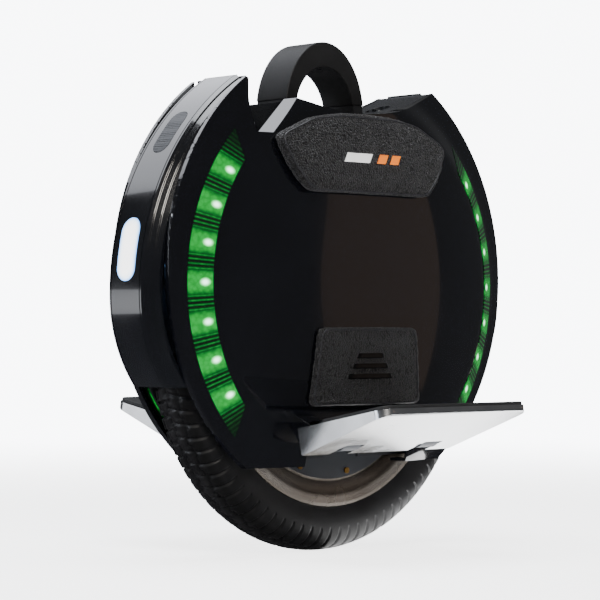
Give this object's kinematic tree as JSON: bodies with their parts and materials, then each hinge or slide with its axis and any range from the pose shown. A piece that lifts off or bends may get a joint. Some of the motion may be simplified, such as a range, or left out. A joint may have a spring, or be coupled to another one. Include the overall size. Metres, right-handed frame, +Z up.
{
  "type": "self-balancing unicycle",
  "caption": "Electric self-balancing unicycle: one hub-motor wheel in a rounded gloss shell with a top handle, leg pads, light strips and fold-up foot pedals.",
  "frame": {"origin": "on the ground under the middle of the tyre", "axes": "+X forward, towards the headlight; +Y the vehicle's left; +Z up"},
  "size_m": [0.4922, 0.3898, 0.505],
  "materials": {
    "frame_plastic": "moulded, fine grain",
    "shell_gloss": "high gloss",
    "band_gloss": "high gloss",
    "deck_plastic": "fine grain",
    "handle_steel": "powder coated",
    "grip_rubber": "soft matte",
    "collar_plastic": "matte",
    "steel": "machined",
    "headlight": "clear, lit",
    "reflector": "bright",
    "board": "solder mask",
    "tail_light": "clear red",
    "grille": "perforated",
    "black_plastic": "matte",
    "light_strip": "clear green, lit",
    "pad": "pebbled",
    "hanger_alloy": "cast, dark",
    "stator_iron": "laminated",
    "copper": "wound",
    "battery_wrap": "shrink wrap",
    "heat_sink": "extruded",
    "cable_rubber": "matte",
    "socket_metal": "satin",
    "cap_rubber": "matte",
    "button_metal": "polished",
    "lift_plastic": "matte",
    "black_steel": "black oxide",
    "rim_metal": "satin",
    "cover_metal": "satin black",
    "magnet": "nickel plated",
    "screw_brass": "satin",
    "tyre": "moulded tread",
    "tube_rubber": "matte",
    "valve_brass": "machined",
    "pedal_alloy": "bright cast",
    "mat_rubber": "ribbed"
  },
  "bodies": {
    "chassis": {"left_frame_plate": "frame_plastic", "right_frame_plate": "frame_plastic", "wheel_arch": "frame_plastic", "left_side_shell": "shell_gloss", "right_side_shell": "shell_gloss", "front_band": "band_gloss", "rear_band": "band_gloss", "top_deck": "deck_plastic", "handle_core": "handle_steel", "handle_grip": "grip_rubber", "handle_collars": "collar_plastic", "handle_bolts": "steel", "headlight_lens": "headlight", "headlight_reflector": "reflector", "headlight_board": "board", "tail_light_lens": "tail_light", "tail_light_board": "board", "speaker_grille": "grille", "speaker": "black_plastic", "front_left_strip": "light_strip", "front_right_strip": "light_strip", "rear_left_strip": "light_strip", "rear_right_strip": "light_strip", "strip_boards": "board", "left_upper_pad": "pad", "right_upper_pad": "pad", "left_lower_pad": "pad", "right_lower_pad": "pad", "left_hanger": "hanger_alloy", "right_hanger": "hanger_alloy", "hinge_pins": "steel", "axle": "steel", "axle_nuts": "steel", "stator": "stator_iron", "stator_windings": "copper", "left_battery": "battery_wrap", "right_battery": "battery_wrap", "control_board": "board", "heat_sink": "heat_sink", "motor_cable": "cable_rubber", "charge_socket": "socket_metal", "shell_screws": "black_steel"},
    "wheel": {"motor_housing": "rim_metal", "left_motor_cover": "cover_metal", "right_motor_cover": "cover_metal", "rotor_magnets": "magnet", "wheel_bearings": "steel", "cover_screws": "screw_brass", "tyre": "tyre", "inner_tube": "tube_rubber", "valve": "valve_brass"},
    "left_pedal_arm": {"left_pedal": "pedal_alloy", "left_pedal_mat": "mat_rubber", "pedal_magnets_left": "magnet"},
    "right_pedal_arm": {"right_pedal": "pedal_alloy", "right_pedal_mat": "mat_rubber", "pedal_magnets_right": "magnet"},
    "charge_cap": {"charge_cap": "cap_rubber"},
    "power_button": {"power_button": "button_metal"},
    "lift_button": {"lift_button": "lift_plastic"}
  },
  "joints": [
    {"name": "wheel_spin", "type": "hinge", "parent": "chassis", "child": "wheel", "pos_m": [0, 0, 0.203], "axis": [0, 1, 0], "continuous": true},
    {"name": "left_pedal_fold", "type": "hinge", "parent": "chassis", "child": "left_pedal_arm", "pos_m": [0, 0.0965, 0.116], "axis": [1, 0, 0], "range_deg": [0, 78]},
    {"name": "right_pedal_fold", "type": "hinge", "parent": "chassis", "child": "right_pedal_arm", "pos_m": [0, -0.0965, 0.116], "axis": [-1, 0, 0], "range_deg": [0, 78]},
    {"name": "charge_cap_hinge", "type": "hinge", "parent": "chassis", "child": "charge_cap", "pos_m": [0.1115, 0, 0.4132], "axis": [0, 1, 0], "range_deg": [0, 95]},
    {"name": "power_button_press", "type": "slide", "parent": "chassis", "child": "power_button", "axis": [0, 0, -1], "range_m": [0, 0.0015], "stiffness_N_per_m": 400, "springref_m": -0.002},
    {"name": "lift_button_press", "type": "slide", "parent": "chassis", "child": "lift_button", "axis": [0, 0, 1], "range_m": [0, 0.002], "stiffness_N_per_m": 400, "springref_m": -0.002}
  ]
}
